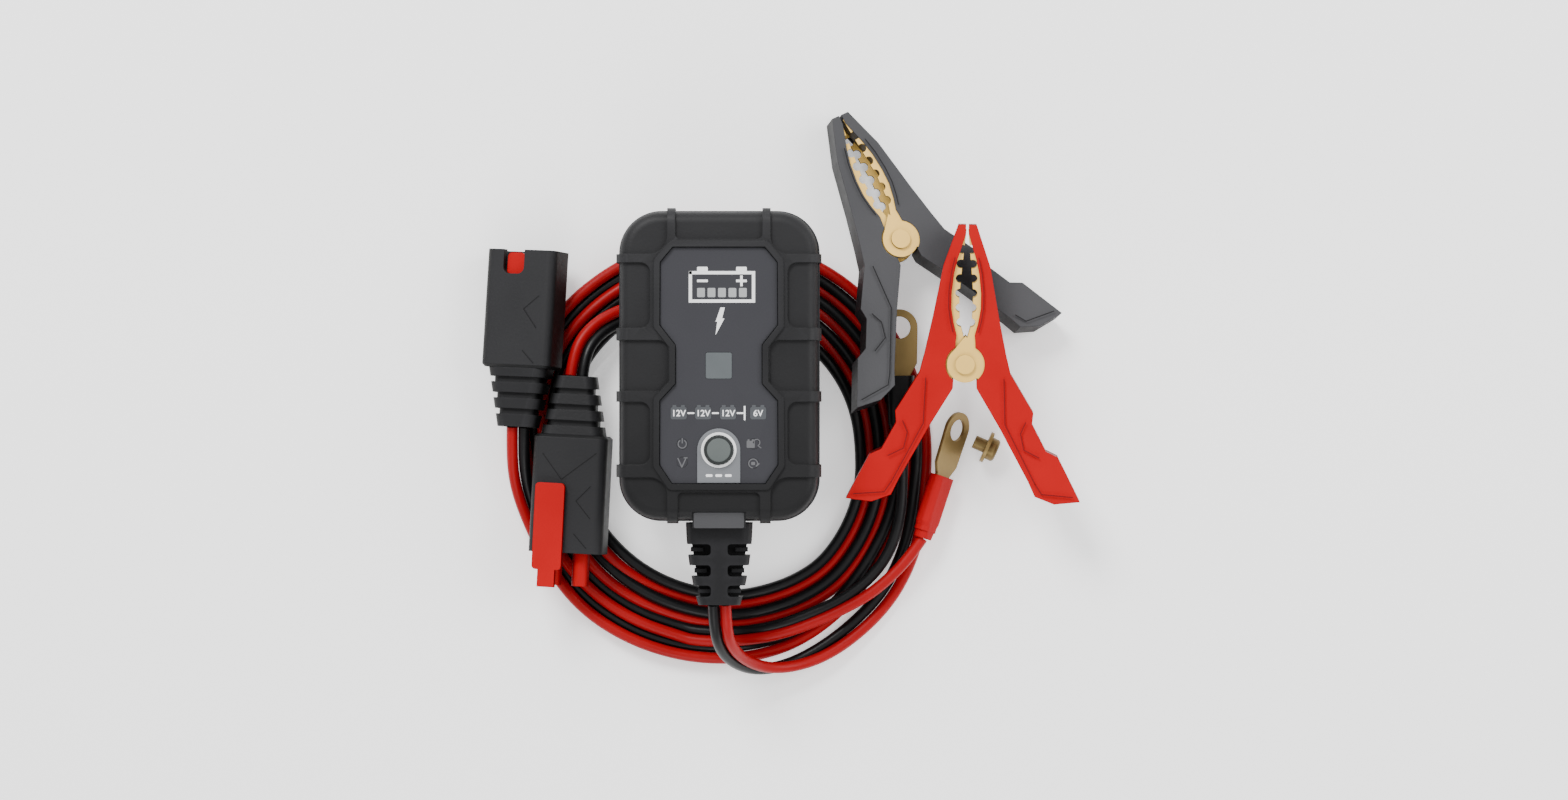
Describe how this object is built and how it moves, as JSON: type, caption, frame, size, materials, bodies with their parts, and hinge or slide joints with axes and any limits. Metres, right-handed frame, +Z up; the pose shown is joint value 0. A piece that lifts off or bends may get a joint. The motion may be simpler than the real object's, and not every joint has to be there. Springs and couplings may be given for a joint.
{
  "type": "car battery charger",
  "caption": "Plug-in car battery charger with mode button, coiled red and black lead, lead connectors, ring eyelets and spring clamps.",
  "frame": {"origin": "on the floor, under the middle of the charger and clamps together", "axes": "+Z up out of the control panel, +Y from the lead's exit towards the top of the panel, +X towards the clamps"},
  "size_m": [0.1724, 0.1646, 0.05],
  "materials": {
    "case_plastic": "fine moulded texture",
    "panel_plastic": "smooth satin",
    "plate_grey": "satin",
    "ring_white": "gloss",
    "button_grey": "matt",
    "window_grey": "satin translucent",
    "seal_rubber": "matt",
    "board_green": "solder mask",
    "core_grey": "ferrite",
    "copper_wire": "enamelled",
    "alloy": "satin",
    "chip_black": "matt",
    "plated_brass": "bright",
    "steel_bright": "satin",
    "lead_red": "satin PVC",
    "lead_black": "satin PVC",
    "connector_black": "fine moulded texture",
    "plastic_red": "satin",
    "plastic_grey": "satin"
  },
  "bodies": {
    "charger": {"rear_shell": "case_plastic", "front_shell": "case_plastic", "case_seal": "seal_rubber", "control_panel": "panel_plastic", "button_plate": "plate_grey", "button_ring": "ring_white", "charge_window": "window_grey", "battery_windows": "window_grey", "status_windows": "window_grey", "circuit_board": "board_green", "mode_switch": "steel_bright", "indicator_leds": "ring_white", "transformer_core": "core_grey", "transformer_winding": "copper_wire", "capacitors": "alloy", "heat_sink": "alloy", "power_transistors": "chip_black", "board_chips": "chip_black", "fuse": "chip_black", "blade_carrier": "connector_black", "ac_blades": "plated_brass", "board_wires": "lead_black", "case_screws": "steel_bright", "strain_relief": "connector_black", "charger_lead_red": "lead_red", "charger_lead_black": "lead_black", "lead_coil": "lead_black", "plug_tails": "lead_red", "socket_tails": "lead_red", "plug_shell": "connector_black", "plug_relief": "connector_black", "plug_insert": "plastic_red", "plug_contacts": "plated_brass", "socket_shell": "connector_black", "socket_relief": "connector_black", "socket_insert": "plastic_red", "socket_contacts": "plated_brass", "clamp_lead_red": "lead_red", "clamp_lead_black": "lead_black", "red_eyelet": "plated_brass", "red_boot": "plastic_red", "black_eyelet": "plated_brass", "black_boot": "connector_black"},
    "mode_button": {"mode_button": "button_grey"},
    "plug_latch": {"plug_latch": "plastic_red"},
    "screw": {"eyelet_screw": "plated_brass", "screw_washer": "plated_brass"},
    "red_clamp": {"red_rivet": "plated_brass", "red_spring": "steel_bright"},
    "red_left_lever": {"red_jaw_left": "plated_brass", "red_grip_left": "plastic_red"},
    "red_right_lever": {"red_jaw_right": "plated_brass", "red_grip_right": "plastic_red"},
    "black_clamp": {"black_rivet": "plated_brass", "black_spring": "steel_bright"},
    "black_left_lever": {"black_jaw_left": "plated_brass", "black_grip_left": "plastic_grey"},
    "black_right_lever": {"black_jaw_right": "plated_brass", "black_grip_right": "plastic_grey"}
  },
  "joints": [
    {"name": "mode_button_press", "type": "slide", "parent": "charger", "child": "mode_button", "axis": [0, 0, -1], "range_m": [0, 0.0008], "stiffness_N_per_m": 300, "springref_m": -0.002},
    {"name": "latch_lift", "type": "hinge", "parent": "charger", "child": "plug_latch", "pos_m": [-0.08578, -0.03633, 0.01849], "axis": [-0.9862, 0.05, -0.158], "range_deg": [0, 6], "stiffness_Nm_per_rad": 0.05, "springref_deg": -5.73},
    {"name": "screw_lift", "type": "slide", "parent": "charger", "child": "screw", "axis": [0, 0, 1], "range_m": [0, 0.06]},
    {"name": "red_clamp_lift", "type": "slide", "parent": "charger", "child": "red_clamp", "axis": [0, 0, 1], "range_m": [0, 0.06]},
    {"name": "black_clamp_slide_out", "type": "slide", "parent": "charger", "child": "black_clamp", "axis": [0, 0.995, 0.1], "range_m": [0, 0.06]},
    {"name": "red_squeeze_left", "type": "hinge", "parent": "red_clamp", "child": "red_left_lever", "pos_m": [0.03315, -0.0021, 0.01999], "axis": [-0.0311, -0.0643, 0.9974], "range_deg": [0, 15], "stiffness_Nm_per_rad": 0.2, "springref_deg": -17.19},
    {"name": "red_squeeze_right", "type": "hinge", "parent": "red_clamp", "child": "red_right_lever", "pos_m": [0.03315, -0.0021, 0.01999], "axis": [-0.0311, -0.0643, 0.9974], "range_deg": [-15, 0]},
    {"name": "black_squeeze_left", "type": "hinge", "parent": "black_clamp", "child": "black_left_lever", "pos_m": [0.01401, 0.03303, 0.00984], "axis": [0.1628, 0.179, 0.9703], "range_deg": [0, 6], "stiffness_Nm_per_rad": 0.2, "springref_deg": -17.19},
    {"name": "black_squeeze_right", "type": "hinge", "parent": "black_clamp", "child": "black_right_lever", "pos_m": [0.01401, 0.03303, 0.00984], "axis": [0.1628, 0.179, 0.9703], "range_deg": [-6, 0]}
  ],
  "couplings": [
    {"joint": "red_squeeze_right", "follows": "red_squeeze_left", "ratio": -1},
    {"joint": "black_squeeze_right", "follows": "black_squeeze_left", "ratio": -1}
  ]
}
